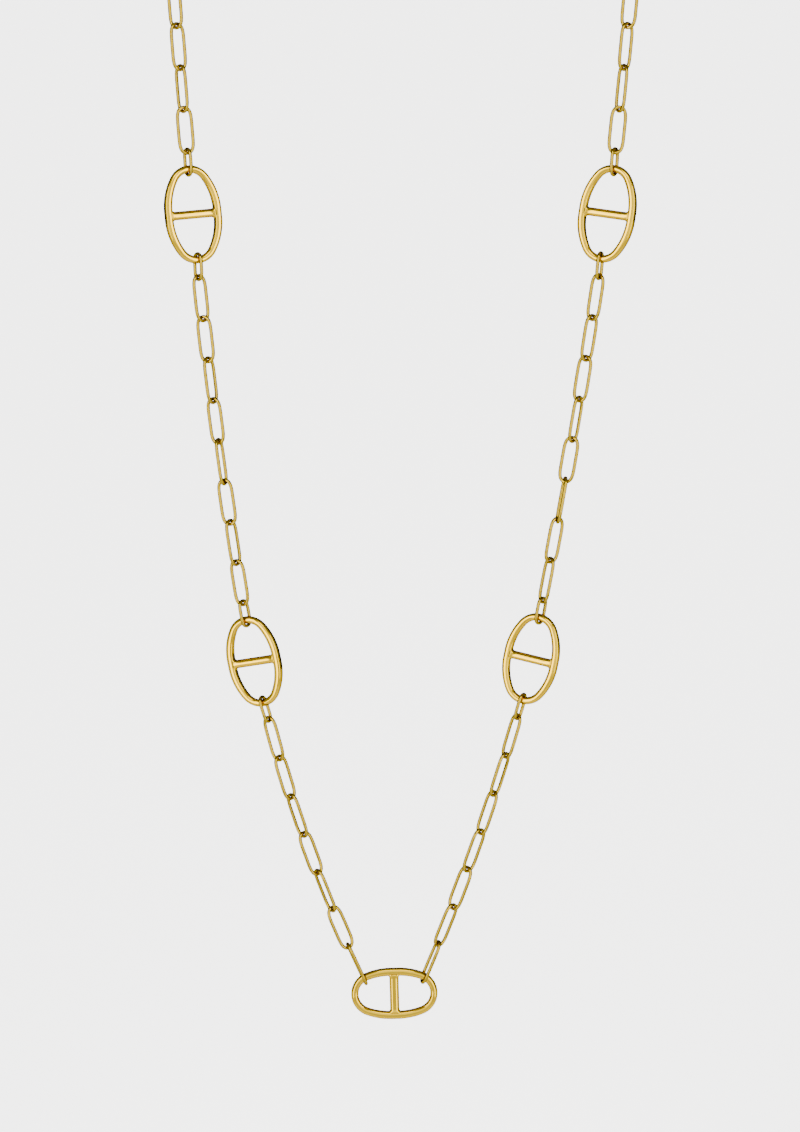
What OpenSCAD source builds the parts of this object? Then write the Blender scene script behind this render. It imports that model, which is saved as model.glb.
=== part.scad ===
// Mariner link chain necklace: a long loop of slim oval links with five larger
// barred links hanging at the front, closed by a spring ring clasp at the nape.
// Millimetres. X is to the right, Z is up, Y is to the back, and the origin is
// where the clasp lies on the nape of the neck.

/* [Slim links] */
// Thickness of the wire of the slim links
wire_d = 0.92; // [0.86:0.01:0.96]
// Length of a long slim link from joint to joint
clip_pitch = 11; // [10.8:0.1:11.6]
// Length of a short slim link from joint to joint
short_pitch = 5.8; // [5.5:0.1:6.5]
// Outer width of the slim links
clip_w = 4.35; // [4.3:0.05:4.6]
// Free gap left where two links hang in each other
gap = 0.14; // [0.14:0.01:0.2]

/* [Barred links] */
// Length of the two upper barred links
upper_len = 26.1; // [24:0.1:28]
// Width of the two upper barred links
upper_w = 15.5; // [14:0.1:17]
// Length of the two lower barred links
lower_len = 25; // [23:0.1:27]
// Width of the two lower barred links
lower_w = 15.3; // [14:0.05:17]
// Length of the centre link
centre_len = 23.6; // [22:0.1:26]
// Height of the centre link
centre_w = 14; // [13:0.1:15]
// Thickness of the round wire of the barred links
ring_d = 2; // [1.8:0.05:2.05]
// Thickness of the bar of the upper and lower links
bar_d = 2.3; // [2:0.05:2.4]
// Thickness of the bar of the centre link
centre_bar_d = 2.55; // [2.1:0.05:2.8]
// Radius of the fillets where a bar runs into its ring
fillet_r = 0.5; // [0.3:0.05:0.8]

/* [Hang] */
// Height of the nape above the middle of the centre link
drop = 322.2; // [318:0.1:328]
// Distance from the nape forward to the plane of the hanging front
front_depth = 95; // [90:1:100]
// How far the centre link hangs to the left of the middle
centre_off = 2.15; // [0:0.05:3]
// Turn of the four side barred links about their own length
turn = 20; // [16:1:24]
// Where the last slim links sit on the ends of the centre link
seat_angle = 33; // [28:1:38]

/* [Clasp] */
// Outer size of the ring of the clasp
clasp_d = 8; // [7.5:0.1:9]
// Thickness of the ring of the clasp
clasp_wire = 1.3; // [1:0.05:1.4]
// Outer size of the small eye on the clasp
eye_d = 3.4; // [3.2:0.1:3.8]
// Thickness of the small eye on the clasp
eye_wire = 0.8; // [0.7:0.05:0.9]

/* [Hidden] */
$fn = 48;
SLIM = [0.88, 0.79, 0.47];
BOLD = [0.82, 0.66, 0.30];

// Kinds of link
LONG = 0;
SHORT = 1;
LOWER = 2;
UPPER = 3;

// Joint to joint length of each kind
pitch = [
    clip_pitch,
    short_pitch,
    lower_len - 2 * ring_d - gap,
    upper_len - 2 * ring_d - gap
];

// Each side is walked up from the centre link, one row a stretch.
// Columns: kind, lean from the vertical at the bottom, lean at the top, turn of each link
left_rows = [
    [LONG, 24.6, 15.1, [-80, 30, -57, 37, -49, 45, -38]],
    [SHORT, 17.2, 17.2, [67]],
    [LOWER, 11.2, 11.2, [-turn]],
    [SHORT, 10, 10, [57]],
    [LONG, 8.9, 5.9, [-26, 53, -19, 69, -28, 55, -21, 40]],
    [SHORT, 2.5, 2.5, [-57]],
    [UPPER, 5.8, 5.8, [turn]],
    [SHORT, 3.7, 3.7, [-60]],
    [LONG, 4.6, 4.2, [14, -48, 35, -34]]
];
right_rows = [
    [LONG, 22.4, 16.3, [-76, 44, -41, 43, -52, 53, -56]],
    [SHORT, 15.7, 15.7, [63]],
    [LOWER, 11.5, 11.5, [-turn]],
    [SHORT, 9.9, 9.9, [54]],
    [LONG, 10.6, 8.4, [-59, 33, -82, -19, 55, -33, 39, -42]],
    [SHORT, 5.1, 5.1, [67]],
    [UPPER, 8.6, 8.6, [-turn]],
    [SHORT, 3.7, 3.7, [62]],
    [LONG, 5.6, 5, [1, -61, 40, -24]]
];
KIND = 0;
LOW = 1;
HIGH = 2;
TURNS = 3;

// Columns of a placed link: kind, lower joint, upper joint, turn, row it belongs to
FROM = 1;
TO = 2;
ROLL = 3;
ROW = 4;
NECK = 8;

// The stretch round the neck: how many long links, how they tip to either side,
// and how far they turn on the way so that the last one stands square to the clasp
neck_links = 13;
neck_tip = 44;
neck_turn = 46;

// Slope of the line on which the shoulders of a ring hand over to its round ends:
// share across and share along, two numbers whose squares add up to exactly one
SIDE_SLOPE = [0.8432, 0.5376];
CENTRE_SLOPE = [0.936, 0.352];

function unit(v) = v / norm(v);
function mix(p, q, t) = p + (q - p) * t;
function sum(v, i = 0) = i < len(v) ? v[i] + sum(v, i + 1) : 0;

// Outline of a barred ring: how far the shoulder centres lie from the end centres, in
// quarter millimetres, the radius of the ends and half the length of the straight sides
function spread(len, wid, slope) =
    round(1.6 * (len - wid) / (slope.x + slope.y - 1)) / 4;
function end_radius(len, wid, slope) = wid / 2 - (1 - slope.x) * spread(len, wid, slope);
function flat_half(len, wid, slope) =
    len / 2 - end_radius(len, wid, slope) - slope.y * spread(len, wid, slope);

// Centre link: its middle and the direction of its length, a little up to the right
centre_tilt = 1.5;
centre_at = [-centre_off, -front_depth, -drop];
centre_dir = [cos(centre_tilt), 0, sin(centre_tilt)];
centre_up = [-sin(centre_tilt), 0, cos(centre_tilt)];
end_r = end_radius(centre_len, centre_w, CENTRE_SLOPE);
seat_r = end_r - ring_d - gap / 2;

// Where a side starts: the seat of its first slim link inside the centre link
function seat(side) = centre_at
    + side * centre_dir * (centre_len / 2 - end_r + seat_r * sin(seat_angle))
    + centre_up * seat_r * cos(seat_angle);

// The links of one side in order, still without a place: kind, lean, turn, row
function listed(rows) = [
    for (r = [0 : len(rows) - 1], k = [0 : len(rows[r][TURNS]) - 1])
        let (last = max(1, len(rows[r][TURNS]) - 1))
        [rows[r][KIND], mix(rows[r][LOW], rows[r][HIGH], k / last), rows[r][TURNS][k], r]
];

// Joints of the straight hanging front of one side, from the centre link upwards
function front_joints(todo, side) = [
    for (
        i = 0, p = seat(side);
        i <= len(todo);
        p = i < len(todo)
            ? p + pitch[todo[i][0]] * [side * sin(todo[i][1]), 0, cos(todo[i][1])]
            : p,
        i = i + 1
    ) p
];

// Joints of the stretch round the neck: equal steps along a cubic curve that leaves
// upwards and comes in level to the clasp, its reach found so that the links just fit
function cubic(q, t) = let (u = 1 - t)
    u * u * u * q[0] + 3 * u * u * t * q[1] + 3 * u * t * t * q[2] + t * t * t * q[3];
function poles(p, up, stop, reach, side) =
    [p, p + reach * up, stop + [side * reach, 0, 0], stop];
function lengths(q, n = 80) = [
    for (i = 0, s = 0; i <= n; i = i + 1, s = s + norm(cubic(q, i / n) - cubic(q, (i - 1) / n)))
        [s, i / n]
];
function steps(q) = let (table = lengths(q), total = table[len(table) - 1][0])
    [for (k = [0 : neck_links]) cubic(q, lookup(k / neck_links * total, table))];
function chord(v) = sum([for (i = [1 : len(v) - 1]) norm(v[i] - v[i - 1])]);
function found(p, up, stop, side, lo = 5, hi = 160, n = 28) =
    let (mid = (lo + hi) / 2)
    n == 0 ? mid
    : chord(steps(poles(p, up, stop, mid, side))) > neck_links * clip_pitch
        ? found(p, up, stop, side, lo, mid, n - 1)
        : found(p, up, stop, side, mid, hi, n - 1);

// Clasp: the joint in its ring and the joint in its eye lie level, each the same way out
ring_in = clasp_d / 2 - clasp_wire - gap / 2;
eye_in = eye_d / 2 - eye_wire - gap / 2;
eye_at = clasp_d / 2 + eye_d / 2 - 0.5 * (clasp_wire + eye_wire) / 2;
clasp_half = (ring_in + eye_at + eye_in) / 2;

// Every link of one side with its place
function placed(rows, side) =
    let (
        todo = listed(rows),
        low = front_joints(todo, side),
        top = low[len(low) - 1],
        up = unit(top - low[len(low) - 2]),
        stop = [side * clasp_half, 0, 0],
        high = steps(poles(top, up, stop, found(top, up, stop, side), side))
    )
    concat(
        [for (i = [0 : len(todo) - 1]) [todo[i][0], low[i], low[i + 1], todo[i][2], todo[i][3]]],
        [
            for (k = [0 : neck_links - 1])
                let (tip = k % 2 == 0 ? neck_tip : -neck_tip)
                [LONG, high[k], high[k + 1], tip + neck_turn * k / (neck_links - 1), NECK]
        ]
    );
left_side = placed(left_rows, -1);
right_side = placed(right_rows, 1);

// Puts a link between two joints: its length along Z, its width along X before the turn
module between(a, b, roll) {
    d = unit(b - a);
    flat = unit(cross(d, [0, -1, 0]));
    wide = cos(roll) * flat + sin(roll) * cross(d, flat);
    thick = cross(d, wide);
    c = (a + b) / 2;
    multmatrix([
        [wide.x, thick.x, d.x, c.x],
        [wide.y, thick.y, d.y, c.y],
        [wide.z, thick.z, d.z, c.z],
        [0, 0, 0, 1]
    ])
        rotate([90, 0, 0])
            children();
}

// Part of a ring of round wire in the XY plane
module arc(radius, start, sweep, wire)
    rotate([0, 0, start])
        rotate_extrude(angle = sweep)
            translate([radius, 0])
                circle(d = wire);

// Straight piece of round wire along Y
module rod(x, half, wire)
    translate([x, -half, 0])
        rotate([-90, 0, 0])
            cylinder(d = wire, h = 2 * half);

// Slim link: two straight sides and two round ends
module slim_link(span) {
    r = (clip_w - wire_d) / 2;
    half = (span + gap) / 2 + wire_d / 2 - r;
    for (s = [-1, 1])
        rod(s * r, half, wire_d);
    translate([0, half, 0])
        arc(r, 0, 180, wire_d);
    translate([0, -half, 0])
        arc(r, 180, 180, wire_d);
}

// Part of a ring of round wire in the XY plane: what lies between two directions
module sector(radius, from, to, wire)
    intersection() {
        rotate([0, 0, 180])
            rotate_extrude()
                translate([radius, 0])
                    circle(d = wire);
        translate([0, 0, -wire])
            linear_extrude(2 * wire)
                polygon([[0, 0], 25 * from, 25 * to]);
    }

// Barred link: short straight sides, shoulders and round ends of one wire, with a
// bar across the middle whose tapered ends run into the ring between small fillets
module barred_link(length, width, slope, bar) {
    q = spread(length, width, slope);
    r = end_radius(length, width, slope);
    h = flat_half(length, width, slope);
    inner = width / 2 - ring_d;
    for (s = [-1, 1])
        rod(s * (width - ring_d) / 2, h, ring_d);
    for (x = [0, 180], y = [0, 180])
        rotate([y, x, 0])
            translate([-slope.x * q, h, 0])
                sector(r + q - ring_d / 2, [1, 0], slope, ring_d);
    for (y = [0, 180])
        rotate([y, 0, 0])
            translate([0, length / 2 - r, 0])
                sector(r - ring_d / 2, slope, [-slope.x, slope.y], ring_d);
    rotate([0, 90, 0])
        translate([0, 0, -inner])
            cylinder(d = bar, h = 2 * inner);
    for (x = [0, 180])
        rotate([0, x, 0])
            translate([inner, 0, 0]) {
                rotate([0, 90, 0])
                    cylinder(d1 = bar, d2 = 0.8 * ring_d, h = ring_d / 2);
                for (y = [0, 180])
                    rotate([y, 0, 0])
                        bar_fillet(bar / 2);
            }
}

// Small concave gusset in the corner between a bar and its ring
module bar_fillet(side)
    translate([0, 0, -0.3 * ring_d])
        linear_extrude(0.6 * ring_d)
            difference() {
                translate([-fillet_r, side - 0.35])
                    square([fillet_r + 0.5, fillet_r + 0.35]);
                translate([-fillet_r, side + fillet_r])
                    circle(r = fillet_r);
            }

// Any placed link of a side
module link(row)
    between(row[FROM], row[TO], row[ROLL])
        if (row[KIND] == UPPER)
            barred_link(upper_len, upper_w, SIDE_SLOPE, bar_d);
        else if (row[KIND] == LOWER)
            barred_link(lower_len, lower_w, SIDE_SLOPE, bar_d);
        else
            slim_link(pitch[row[KIND]]);

// The links of one side that belong to one row
module stretch(side, number)
    for (row = side)
        if (row[ROW] == number)
            link(row);

module centre_mariner_link()
    color(BOLD)
        between(centre_at - centre_dir, centre_at + centre_dir, 0)
            barred_link(centre_len, centre_w, CENTRE_SLOPE, centre_bar_d);

module lower_left_mariner_link() color(BOLD) stretch(left_side, 2);
module lower_right_mariner_link() color(BOLD) stretch(right_side, 2);
module upper_left_mariner_link() color(BOLD) stretch(left_side, 6);
module upper_right_mariner_link() color(BOLD) stretch(right_side, 6);

module lower_left_link_below() color(SLIM) stretch(left_side, 1);
module lower_left_link_above() color(SLIM) stretch(left_side, 3);
module upper_left_link_below() color(SLIM) stretch(left_side, 5);
module upper_left_link_above() color(SLIM) stretch(left_side, 7);
module lower_right_link_below() color(SLIM) stretch(right_side, 1);
module lower_right_link_above() color(SLIM) stretch(right_side, 3);
module upper_right_link_below() color(SLIM) stretch(right_side, 5);
module upper_right_link_above() color(SLIM) stretch(right_side, 7);

module lower_chain_left() color(SLIM) stretch(left_side, 0);
module lower_chain_right() color(SLIM) stretch(right_side, 0);
module middle_chain_left() color(SLIM) stretch(left_side, 4);
module middle_chain_right() color(SLIM) stretch(right_side, 4);
module neck_chain_left() color(SLIM) stretch(left_side, NECK);
module neck_chain_right() color(SLIM) stretch(right_side, NECK);

// Spring ring clasp in the XZ plane: ring, small eye and thumb stub in one piece
module clasp()
    color(BOLD)
        translate([clasp_half - ring_in, 0, 0])
            rotate([90, 0, 0]) {
                rotate_extrude()
                    translate([(clasp_d - clasp_wire) / 2, 0])
                        circle(d = clasp_wire);
                translate([-eye_at, 0, 0])
                    rotate_extrude()
                        translate([(eye_d - eye_wire) / 2, 0])
                            circle(d = eye_wire);
                rotate([0, 0, 60])
                    translate([clasp_d / 2 - 0.6 * clasp_wire, 0, 0])
                        rotate([0, 90, 0])
                            cylinder(d = 0.7 * clasp_wire, h = 1.2 * clasp_wire);
            }

centre_mariner_link();
lower_left_mariner_link();
lower_right_mariner_link();
upper_left_mariner_link();
upper_right_mariner_link();
lower_left_link_below();
lower_left_link_above();
upper_left_link_below();
upper_left_link_above();
lower_right_link_below();
lower_right_link_above();
upper_right_link_below();
upper_right_link_above();
lower_chain_left();
lower_chain_right();
middle_chain_left();
middle_chain_right();
neck_chain_left();
neck_chain_right();
clasp();
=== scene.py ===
"""Mariner link chain necklace: smooth surfaces for every link and for the clasp, gold
plate, a pale studio and the camera at the photo's angle. Metres, in the part's frame."""

import math

import bpy
import numpy as np
from mathutils import Matrix


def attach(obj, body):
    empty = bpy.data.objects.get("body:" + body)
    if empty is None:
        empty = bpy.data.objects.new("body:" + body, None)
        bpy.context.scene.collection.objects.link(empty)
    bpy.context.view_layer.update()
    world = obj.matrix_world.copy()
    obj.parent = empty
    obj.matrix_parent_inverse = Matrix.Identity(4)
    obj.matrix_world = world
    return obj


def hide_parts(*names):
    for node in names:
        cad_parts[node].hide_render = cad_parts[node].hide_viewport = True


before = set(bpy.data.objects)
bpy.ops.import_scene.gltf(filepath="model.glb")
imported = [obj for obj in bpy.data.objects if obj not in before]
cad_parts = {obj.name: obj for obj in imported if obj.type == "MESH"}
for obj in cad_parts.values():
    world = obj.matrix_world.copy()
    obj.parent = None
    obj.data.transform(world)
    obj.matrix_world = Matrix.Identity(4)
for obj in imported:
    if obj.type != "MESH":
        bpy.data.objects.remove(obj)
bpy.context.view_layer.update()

# Sizes in mm, as in the solid part
WIRE, CLIP_PITCH, SHORT_PITCH, GAP = 0.92, 11.0, 5.8, 0.14
RING_WIRE = 2.0
DROP, FRONT, OFF, TURN, SEAT, TILT = 322.2, 95.0, 2.15, 20, 33, 1.5
CLASP_D, CLASP_WIRE, EYE_D, EYE_WIRE = 8.0, 1.3, 3.4, 0.8
NECK_LINKS, NECK_TIP, NECK_TURN = 13, 44, 46

# The slim wire is drawn a touch stouter than it is, so that it shows at its true width
# in front of a bright ground. It still clears its neighbours.
DRAWN_WIRE = 0.97

# Slim links as drawn: half the width of the wire's middle line, and the power that
# sets how square the oval is
SLIM_OVAL = {"long": (1.86, 5.5), "short": (1.76, 4.5)}

# Barred links. len, wid, slope and bar are the solid part's. The wire swells along the
# sides by the share in swell and to a depth of side_depth, and square is how much its
# section gains over a round one there. bar_depth is the bar's size front to back.
UPPER = {"len": 26.1, "wid": 15.5, "slope": (0.8432, 0.5376), "bar": 2.3,
         "side_depth": 2.6, "square": 1.5, "bar_depth": 2.45, "swell": 0.05}
LOWER = {"len": 25.0, "wid": 15.3, "slope": (0.8432, 0.5376), "bar": 2.3,
         "side_depth": 2.4, "square": 1.2, "bar_depth": 2.3, "swell": 0.05}
CENTRE = {"len": 23.6, "wid": 14.0, "slope": (0.936, 0.352), "bar": 2.55,
          "side_depth": 2.2, "square": 0.6, "bar_depth": 2.2, "swell": 0.1}

# Each side going up from the centre link.
# Columns: node, kind, lean at the bottom, lean at the top, turn of each link
LEFT = [
    ("lower_chain_left", "long", 24.6, 15.1, (-80, 30, -57, 37, -49, 45, -38)),
    ("lower_left_link_below", "short", 17.2, 17.2, (67,)),
    ("lower_left_mariner_link", "lower", 11.2, 11.2, (-TURN,)),
    ("lower_left_link_above", "short", 10, 10, (57,)),
    ("middle_chain_left", "long", 8.9, 5.9, (-26, 53, -19, 69, -28, 55, -21, 40)),
    ("upper_left_link_below", "short", 2.5, 2.5, (-57,)),
    ("upper_left_mariner_link", "upper", 5.8, 5.8, (TURN,)),
    ("upper_left_link_above", "short", 3.7, 3.7, (-60,)),
    ("neck_chain_left", "long", 4.6, 4.2, (14, -48, 35, -34)),
]
RIGHT = [
    ("lower_chain_right", "long", 22.4, 16.3, (-76, 44, -41, 43, -52, 53, -56)),
    ("lower_right_link_below", "short", 15.7, 15.7, (63,)),
    ("lower_right_mariner_link", "lower", 11.5, 11.5, (-TURN,)),
    ("lower_right_link_above", "short", 9.9, 9.9, (54,)),
    ("middle_chain_right", "long", 10.6, 8.4, (-59, 33, -82, -19, 55, -33, 39, -42)),
    ("upper_right_link_below", "short", 5.1, 5.1, (67,)),
    ("upper_right_mariner_link", "upper", 8.6, 8.6, (-TURN,)),
    ("upper_right_link_above", "short", 3.7, 3.7, (62,)),
    ("neck_chain_right", "long", 5.6, 5.0, (1, -61, 40, -24)),
]
PITCH = {
    "long": CLIP_PITCH,
    "short": SHORT_PITCH,
    "lower": LOWER["len"] - 2 * RING_WIRE - GAP,
    "upper": UPPER["len"] - 2 * RING_WIRE - GAP,
}

# Where the centre link hangs, and the reach of the clasp to either side of the nape
tilt = math.radians(TILT)
centre_at = np.array((-OFF, -FRONT, -DROP))
centre_dir = np.array((math.cos(tilt), 0, math.sin(tilt)))
centre_up = np.array((-math.sin(tilt), 0, math.cos(tilt)))
ring_in = CLASP_D / 2 - CLASP_WIRE - GAP / 2
eye_in = EYE_D / 2 - EYE_WIRE - GAP / 2
eye_at = CLASP_D / 2 + EYE_D / 2 - 0.5 * (CLASP_WIRE + EYE_WIRE) / 2
clasp_half = (ring_in + eye_at + eye_in) / 2


# Where each link hangs
def outline(link):
    """Spread of the arc centres, radius of the ends and half of the straight side."""
    c, s = link["slope"]
    q = round(1.6 * (link["len"] - link["wid"]) / (c + s - 1)) / 4
    r = link["wid"] / 2 - (1 - c) * q
    return q, r, link["len"] / 2 - r - s * q


def turned(direction, roll):
    """Width and thickness directions of a link along direction, turned by roll degrees."""
    flat = np.cross(direction, (0, -1, 0))
    flat /= np.linalg.norm(flat)
    a = math.radians(roll)
    wide = math.cos(a) * flat + math.sin(a) * np.cross(direction, flat)
    return wide, np.cross(direction, wide)


def cubic(q, t):
    """Cubic curve through its four poles q at the values t."""
    u, t = (1 - t)[:, None], t[:, None]
    return u**3 * q[0] + 3 * u * u * t * q[1] + 3 * u * t * t * q[2] + t**3 * q[3]


def neck_steps(q, chords=80):
    """Joints at equal steps of length along the cubic curve, measured on its chords."""
    t = np.linspace(0, 1, chords + 1)
    p = cubic(q, t)
    run = np.r_[0, np.cumsum(np.linalg.norm(np.diff(p, axis=0), axis=1))]
    return cubic(q, np.interp(np.linspace(0, run[-1], NECK_LINKS + 1), run, t))


def neck_joints(p, up, stop, side):
    """The curve's reach is halved in on until the links just fit between its ends."""
    short, far = 5.0, 160.0
    for _ in range(28):
        reach = (short + far) / 2
        j = neck_steps([p, p + reach * up, stop + np.array((side * reach, 0, 0)), stop])
        if np.linalg.norm(np.diff(j, axis=0), axis=1).sum() > NECK_LINKS * CLIP_PITCH:
            far = reach
        else:
            short = reach
    return j


def hung(rows, side):
    """Every link of a side as (node, kind, lower joint, upper joint, turn)."""
    q, r, h = outline(CENTRE)
    a, seat = math.radians(SEAT), r - RING_WIRE - GAP / 2
    p = centre_at + side * centre_dir * (CENTRE["len"] / 2 - r + seat * math.sin(a))
    p = p + centre_up * seat * math.cos(a)
    out = []
    for node, kind, low, high, turns in rows:
        for k, roll in enumerate(turns):
            lean = math.radians(low + (high - low) * k / max(1, len(turns) - 1))
            up = np.array((side * math.sin(lean), 0, math.cos(lean)))
            out.append((node, kind, p, p + PITCH[kind] * up, roll))
            p = p + PITCH[kind] * up
    j = neck_joints(p, up, np.array((side * clasp_half, 0.0, 0.0)), side)
    for k in range(NECK_LINKS):
        roll = NECK_TIP * (1 if k % 2 == 0 else -1) + NECK_TURN * k / (NECK_LINKS - 1)
        out.append((rows[-1][0], "long", j[k], j[k + 1], roll))
    return out


# Surfaces
def wrapped(m, n, closed):
    """Quads of an m by n grid that closes round n, and round m as well if closed."""
    i, j = np.meshgrid(np.arange(m if closed else m - 1), np.arange(n), indexing="ij")
    i2, j2 = (i + 1) % m, (j + 1) % n
    f = np.stack([i * n + j, i * n + j2, i2 * n + j2, i2 * n + j], -1)
    return f.reshape(-1, 4)


def capped(m, n):
    """Triangles that close both ends of an m by n grid at two middle points, which
    follow the grid. The last corner is written twice."""
    j = np.arange(n)
    k, end = (j + 1) % n, (m - 1) * n
    first, last = np.full(n, m * n), np.full(n, m * n + 1)
    return np.vstack([np.c_[k, j, first, first], np.c_[end + j, end + k, last, last]])


def superellipse(n, power):
    """n points round the curve |x|^power + |y|^power = 1, one row for each power."""
    a = np.linspace(0, 2 * np.pi, n, endpoint=False)
    return (np.sign(w) * np.abs(w) ** (2 / power) for w in (np.cos(a), np.sin(a)))


def swept(centre, out, side, half_out, half_side, power):
    """Closed tube: at each point of a closed path, a superellipse with its two half
    widths along the out and side directions and its own power."""
    n = 40 if np.ndim(power) else 20
    ca, sa = superellipse(n, np.broadcast_to(power, len(centre))[:, None])
    ho = np.broadcast_to(half_out, len(centre))[:, None, None]
    hs = np.broadcast_to(half_side, len(centre))[:, None, None]
    v = centre[:, None] + ca[..., None] * ho * out[:, None] + sa[..., None] * hs * side
    return v.reshape(-1, 3), wrapped(len(centre), n, True)


def all_round(quarter, n, turning=0.0):
    """n points round a shape of four mirrored quarters, given as rows of x, y and the
    outward direction, in equal steps of length and turning together. turning says how
    many mm a radian counts for."""
    flip = quarter[::-1] * (-1, 1, -1, 1)
    path = np.vstack([quarter, flip, -quarter, -flip])
    step = np.diff(path, axis=0) * (1, 1, turning, turning)
    run = np.r_[0, np.cumsum(np.linalg.norm(step, axis=1))]
    t = np.linspace(0, run[-1], n, endpoint=False)
    path = np.c_[[np.interp(t, run, path[:, k]) for k in range(4)]].T
    o = path[:, 2:] / np.linalg.norm(path[:, 2:], axis=1)[:, None]
    return np.c_[path[:, :2], 0 * t], np.c_[o, 0 * t]


def slim_surface(kind, n=72, turning=2.0):
    """Slim link: round wire round the tall oval (x / w)^2 + (y / h)^power = 1, in its
    own width (x), length (y) and thickness (z) directions."""
    w, power = SLIM_OVAL[kind]
    h = (PITCH[kind] + GAP + WIRE) / 2
    a = np.pi / 2 * np.linspace(0, 1, 400) ** (power / 2)
    x, y = w * np.cos(a), h * np.sin(a) ** (2 / power)
    o = np.c_[2 * x / w**2, power * y ** (power - 1) / h**power]
    o /= np.linalg.norm(o, axis=1)[:, None]
    p, o = all_round(np.c_[x, y, o], n, turning)
    return [swept(p, o, np.array((0, 0, 1.0)), DRAWN_WIRE / 2, DRAWN_WIRE / 2, 2.0)]


def ring_path(link, n=224):
    """Points and outward directions round a barred ring: a straight side, a shoulder
    arc and an end arc in each quarter, at equal steps of length."""
    q, r, h = outline(link)
    c, s = link["slope"]
    bend = math.atan2(s, c)
    big, small = r + q - RING_WIRE / 2, r - RING_WIRE / 2
    step = np.linspace(0, 1, 200)
    a, b = step * bend, bend + step * (np.pi / 2 - bend)
    one = np.ones_like(step)
    quarter = np.vstack([
        np.c_[one * (link["wid"] - RING_WIRE) / 2, step * h, one, 0 * one],
        np.c_[-c * q + big * np.cos(a), h + big * np.sin(a), np.cos(a), np.sin(a)],
        np.c_[small * np.cos(b), link["len"] / 2 - r + small * np.sin(b), np.cos(b), np.sin(b)],
    ])
    return all_round(quarter, n)


def bar_surface(link, reach=0.75, sunk=0.4, n=40):
    """Bar across a barred link: a superellipse that is carried along x, sinks into the
    ring at both ends and flares along it on a quarter ellipse over the last reach mm."""
    inner = link["wid"] / 2 - RING_WIRE
    x = np.r_[0:inner - reach:7j, inner - reach:inner:12j, inner + sunk]
    x = np.unique(np.r_[-x, x])
    u = np.clip((np.abs(x) - inner + reach) / reach, 0, 1)
    flare = reach * 0.9 * (1 - np.sqrt(1 - u**2 * 0.98))
    ca, sa = superellipse(n, 2.3)
    y = ca[None] * (link["bar"] / 2 + flare)[:, None]
    z = sa[None] * (link["bar_depth"] / 2 + 0.05 * u)[:, None]
    v = np.stack([np.broadcast_to(x[:, None], y.shape), y, z], -1).reshape(-1, 3)
    v = np.vstack([v, (x[0], 0, 0), (x[-1], 0, 0)])
    return v, np.vstack([wrapped(len(x), n, False), capped(len(x), n)])


def barred_surface(link):
    """Barred link: wire that is round at the ends and swells to a soft square at the
    sides, as one minus the square of the way to the end, and its bar."""
    p, o = ring_path(link)
    near = 1 - (np.abs(p[:, 1]) / (link["len"] / 2 - RING_WIRE / 2)) ** 2
    near = np.clip(near, 0, 1) ** 0.8
    half_out = RING_WIRE / 2 * (1 + link["swell"] * near)
    half_side = RING_WIRE / 2 + (link["side_depth"] - RING_WIRE) / 2 * near
    power = 2 + link["square"] * near
    ring = swept(p, o, np.array((0, 0, 1.0)), half_out, half_side, power)
    return [ring, bar_surface(link)]


def placed(surface, a, b, roll):
    """Carries a link's surfaces from its own directions to between two joints."""
    d = (b - a) / np.linalg.norm(b - a)
    wide, thick = turned(d, roll)
    turn = np.array((wide, d, -thick))
    return [(v @ turn + (a + b) / 2, f) for v, f in surface]


def hoop(cx, radius, wire):
    """Round ring in the upright plane of the clasp."""
    a = np.linspace(0, 2 * np.pi, 96, endpoint=False)
    o = np.c_[np.cos(a), 0 * a, np.sin(a)]
    return swept(o * radius + (cx, 0, 0), o, np.array((0, 1.0, 0)), wire / 2, wire / 2, 2.0)


def stub(x, z, angle, radius, length):
    """Thumb stub: a short rod with a rounded end, pointing out at the given angle."""
    along = np.r_[0, 0.3, 0.6, 0.8, 0.9, 0.96, 0.99, 1]
    width = np.r_[1, 1, 1, 0.98, 0.88, 0.66, 0.4, 0.02] * radius
    a = np.linspace(0, 2 * np.pi, 24, endpoint=False)
    foot = np.array((x, 0, z))
    d = np.array((math.cos(angle), 0, math.sin(angle)))
    e = np.array((-math.sin(angle), 0, math.cos(angle)))
    ring = np.cos(a)[:, None] * e + np.sin(a)[:, None] * np.array((0, 1.0, 0))
    v = foot + (along * length)[:, None, None] * d + width[:, None, None] * ring
    v = np.vstack([v.reshape(-1, 3), foot, foot + d * length])
    m, n = len(along), len(a)
    return v, np.vstack([wrapped(m, n, False), capped(m, n)])


def outward(v, f):
    """Turns all faces over if the enclosed volume comes out negative."""
    p = v[f[:, 0]], v[f[:, 1]], v[f[:, 2]], v[f[:, 3]]
    vol = np.einsum("ij,ij->i", p[0], np.cross(p[1], p[2]) + np.cross(p[2], p[3])).sum()
    return f if vol > 0 else f[:, ::-1]


def solid(name, parts, material, node):
    """One mesh piece of several closed surfaces, in metres, riding on the frame."""
    vs, fs, at = [], [], 0
    for v, f in parts:
        vs.append(v)
        fs.append(outward(v, f) + at)
        at += len(v)
    v, f = np.vstack(vs) / 1000, np.vstack(fs)
    mesh = bpy.data.meshes.new(name)
    mesh.from_pydata(v.tolist(), [], [list(dict.fromkeys(q)) for q in f.tolist()])
    mesh.update()
    mesh.shade_smooth()
    mesh.materials.append(material)
    o = bpy.data.objects.new(name, mesh)
    bpy.context.scene.collection.objects.link(o)
    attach(o, "root")
    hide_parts(node)
    return o


# Materials
def linear(hexa, alpha=1.0):
    """Linear colour from an sRGB hex string."""
    c = [int(hexa[i:i + 2], 16) / 255 for i in (1, 3, 5)]
    return [x / 12.92 if x <= 0.04045 else ((x + 0.055) / 1.055) ** 2.4 for x in c] + [alpha]


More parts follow.
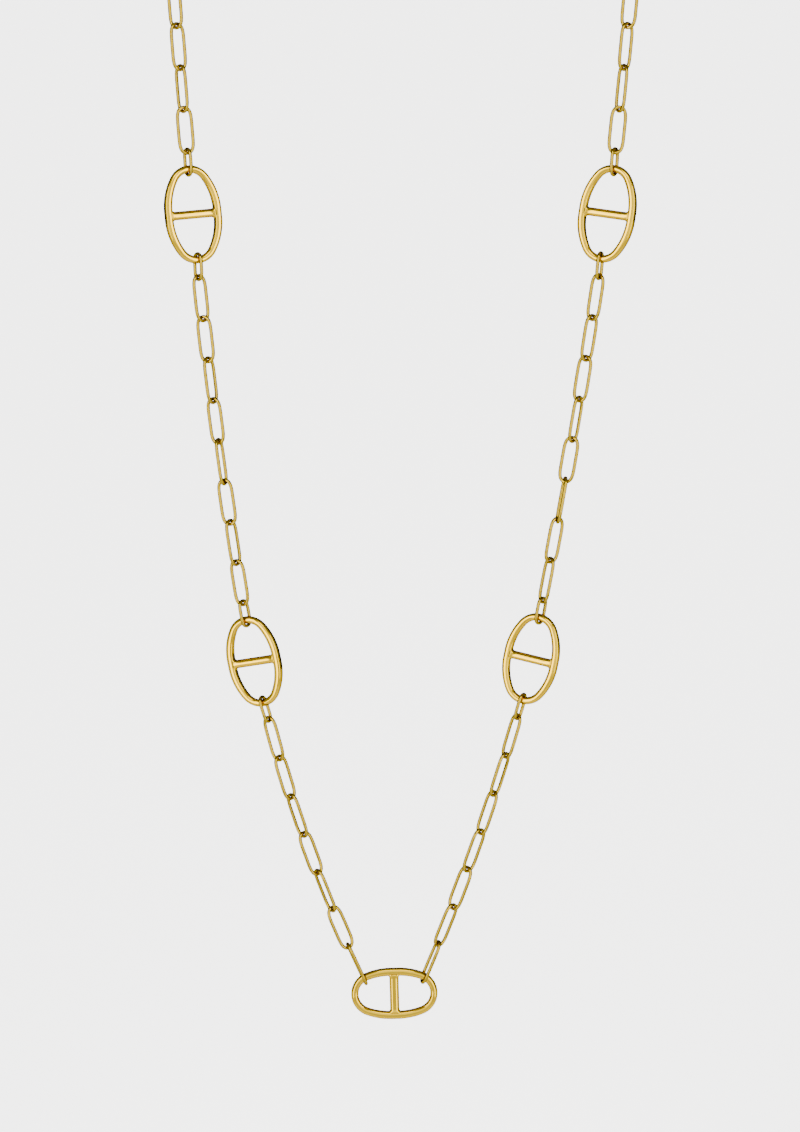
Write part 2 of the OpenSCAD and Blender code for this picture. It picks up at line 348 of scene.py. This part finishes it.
def add(tree, kind, **values):
    """Adds a node and sets its named inputs or its own properties."""
    node = tree.nodes.new(kind)
    for key, value in values.items():
        if key in node.inputs:
            node.inputs[key].default_value = value
        else:
            setattr(node, key, value)
    return node


def mapped(tree, value, low, high, first, last, **how):
    """Adds a node that maps a value from low and high to first and last."""
    node = add(tree, "ShaderNodeMapRange", **how)
    for key, number in (("From Min", low), ("From Max", high), ("To Min", first), ("To Max", last)):
        node.inputs[key].default_value = number
    tree.links.new(value, node.inputs["Value"])
    return node.outputs["Result"]


def gold(name, tone, worn, painted_rim_shade, rough):
    """Gold plate: two near tones in soft clouds of 4 mm, roughness that varies over
    1.5 mm, and a fine ripple of 0.3 mm. The painted rim shade is a dark brown tint on what it mirrors
    at a slant, which paints shade on the rims."""
    m = bpy.data.materials.new(name)
    m.use_nodes = True
    t = m.node_tree
    t.nodes.clear()
    where = add(t, "ShaderNodeTexCoord")
    cloud = add(t, "ShaderNodeTexNoise", Scale=1 / 0.004, Detail=3.0)
    fine = add(t, "ShaderNodeTexNoise", Scale=660.0, Detail=4.0)
    ripple = add(t, "ShaderNodeTexNoise", Scale=3300.0, Detail=2.0)
    for n in (cloud, fine, ripple):
        t.links.new(where.outputs["Object"], n.inputs["Vector"])
    mix = add(t, "ShaderNodeMix", data_type="RGBA")
    mix.inputs[6].default_value = linear(tone)
    mix.inputs[7].default_value = linear(worn)
    t.links.new(cloud.outputs["Fac"], mix.inputs["Factor"])
    spread = mapped(t, fine.outputs["Fac"], 0.3, 0.7, rough * 0.8, rough * 1.25)
    bump = add(t, "ShaderNodeBump", Strength=0.05, Distance=0.00002)
    t.links.new(ripple.outputs["Fac"], bump.inputs["Height"])
    body = add(t, "ShaderNodeBsdfPrincipled", Metallic=1.0)
    # Painted shade: a dark brown tint on the slanting reflection darkens every rim
    body.inputs["Specular Tint"].default_value = linear(painted_rim_shade)
    t.links.new(mix.outputs[2], body.inputs["Base Color"])
    t.links.new(spread, body.inputs["Roughness"])
    t.links.new(bump.outputs["Normal"], body.inputs["Normal"])
    end = add(t, "ShaderNodeOutputMaterial")
    t.links.new(body.outputs["BSDF"], end.inputs["Surface"])
    return m


def lit(name, tone, glow):
    """Matte stage material that also glows."""
    m = bpy.data.materials.new(name)
    m.use_nodes = True
    body = m.node_tree.nodes["Principled BSDF"]
    body.inputs["Base Color"].default_value = linear(tone)
    body.inputs["Roughness"].default_value = 0.9
    body.inputs["Emission Color"].default_value = linear("#FFFFFF")
    body.inputs["Emission Strength"].default_value = glow
    return m


# Polished gold plate on cast brass: deep yellow, with bright faces and painted dark brown shade on the
# rims
bold = gold("gold plate polished", "#E8C222", "#DEB418", "#5E480E", 0.11)
# Tumbled gold plate on thin wire: a shade duller and greener than the barred links, with painted brown
# shade on its rims too
slim = gold("gold plate pale polished", "#BCA02C", "#B09424", "#5A4810", 0.13)

# The necklace
shapes = {
    "long": slim_surface("long"),
    "short": slim_surface("short"),
    "upper": barred_surface(UPPER),
    "lower": barred_surface(LOWER),
}
for rows, side in ((LEFT, -1), (RIGHT, 1)):
    links = {}
    for node, kind, a, b, roll in hung(rows, side):
        links.setdefault((node, kind), []).extend(placed(shapes[kind], a, b, roll))
    for (node, kind), parts in links.items():
        barred = kind in ("upper", "lower")
        material, slot = (bold, "barred_links") if barred else (slim, "slim_links")
        solid("gold_" + node, parts, material, node)
centre = placed(barred_surface(CENTRE), centre_at - centre_dir, centre_at + centre_dir, 0)
solid("gold_centre_mariner_link", centre, bold, "centre_mariner_link")

clasp_x = clasp_half - ring_in
stub_angle = math.radians(60)
stub_foot = CLASP_D / 2 - 0.6 * CLASP_WIRE
clasp = [
    hoop(clasp_x, (CLASP_D - CLASP_WIRE) / 2, CLASP_WIRE),
    hoop(clasp_x - eye_at, (EYE_D - EYE_WIRE) / 2, EYE_WIRE),
    stub(clasp_x + stub_foot * math.cos(stub_angle), stub_foot * math.sin(stub_angle),
         stub_angle, 0.35 * CLASP_WIRE, 1.2 * CLASP_WIRE),
]
solid("gold_clasp", clasp, bold, "clasp")


# Stage, light and camera, in metres
def sheet(name, corners, material):
    """One flat quad of the stage."""
    mesh = bpy.data.meshes.new(name)
    mesh.from_pydata(corners, [], [list(range(4))])
    mesh.materials.append(material)
    o = bpy.data.objects.new(name, mesh)
    bpy.context.scene.collection.objects.link(o)
    return o


def lamp(name, at, to, width, height, watts):
    """Soft box aimed from at to to, in a slightly warm white."""
    light = bpy.data.lights.new(name, "AREA")
    light.shape, light.size, light.size_y, light.energy = "RECTANGLE", width, height, watts
    light.color = linear("#FFF5E2")[:3]
    o = bpy.data.objects.new(name, light)
    bpy.context.scene.collection.objects.link(o)
    back = np.array(at, float) - np.array(to, float)
    back /= np.linalg.norm(back)
    right = np.cross((0, 0, 1), back)
    right /= np.linalg.norm(right)
    m = np.eye(4)
    m[:3, 0], m[:3, 1], m[:3, 2], m[:3, 3] = right, np.cross(back, right), back, at
    o.matrix_world = Matrix(m.tolist())
    return o


# The floor glows so that the undersides of the links mirror something pale. The backdrop
# just fills the photo's view, so that other directions keep the sky's own tones.
FLOOR_Z, FLOOR_HALF = -1.2, 8
BACK_Y, BACK_HALF, BACK_TOP = 2.2, 0.46, 0.2
sheet("floor",
      [(-FLOOR_HALF, -FLOOR_HALF, FLOOR_Z), (FLOOR_HALF, -FLOOR_HALF, FLOOR_Z),
       (FLOOR_HALF, FLOOR_HALF, FLOOR_Z), (-FLOOR_HALF, FLOOR_HALF, FLOOR_Z)],
      lit("pale floor", "#E4E4E4", 0.7))
sheet("backdrop",
      [(-BACK_HALF, BACK_Y, FLOOR_Z), (BACK_HALF, BACK_Y, FLOOR_Z),
       (BACK_HALF, BACK_Y, BACK_TOP), (-BACK_HALF, BACK_Y, BACK_TOP)],
      lit("lit backdrop", "#FFFFFF", 3.3))

middle = (0, -0.095, -0.2)
lamp("front right box", (1.05, -1.35, -0.08), middle, 0.42, 1.65, 15)
lamp("front left box", (-1.05, -1.35, -0.08), middle, 0.42, 1.65, 15)
lamp("front top box", (0.0, -1.3, 0.75), middle, 0.7, 0.4, 5)

world = bpy.data.worlds.new("studio")
bpy.context.scene.world = world
world.use_nodes = True
sky = world.node_tree
where = add(sky, "ShaderNodeTexCoord")


def ramp(direction, near, far, first, last):
    """Smooth change from first to last as a direction of the sky nears the given one."""
    toward = add(sky, "ShaderNodeVectorMath", operation="DOT_PRODUCT")
    toward.inputs[1].default_value = direction
    sky.links.new(where.outputs["Generated"], toward.inputs[0])
    return mapped(sky, toward.outputs["Value"], near, far, first, last, interpolation_type="SMOOTHSTEP")


def joined(operation, one, two):
    """Two numbers of the sky's node tree put together by a math node."""
    node = add(sky, "ShaderNodeMath", operation=operation)
    sky.links.new(one, node.inputs[0])
    sky.links.new(two, node.inputs[1])
    return node.outputs["Value"]


# Dark behind the necklace for dark rims, bright behind the camera, dimmer overhead
behind = ramp((0, 1, 0), 0.0, 0.8, 0.4, 0.01)
front = ramp((0, -1, 0), 0.74, 0.97, 0.0, 1.6)
above = ramp((0, 0.15, 0.99), 0.35, 0.8, 1, 0.6)
glow = joined("MULTIPLY", joined("ADD", behind, front), above)
sky.nodes["Background"].inputs["Color"].default_value = linear("#FBFBFB")
sky.links.new(glow, sky.nodes["Background"].inputs["Strength"])

# A long lens 0.8 m off, looking down by 5.5 degrees. Its focal length is 2971 pixels of
# the photo's height of 1132.
camera = bpy.data.cameras.new("camera")
camera.sensor_width = 36
camera.lens = 36 * 2971 / 1132
camera.clip_start = 0.01
eye = bpy.data.objects.new("camera", camera)
pitch, distance = math.radians(5.5), 0.8
eye.location = (-0.00062, -0.095 - distance * math.cos(pitch), -0.205 + distance * math.sin(pitch))
eye.rotation_euler = (math.pi / 2 - pitch, 0, 0)
bpy.context.scene.collection.objects.link(eye)
bpy.context.scene.camera = eye
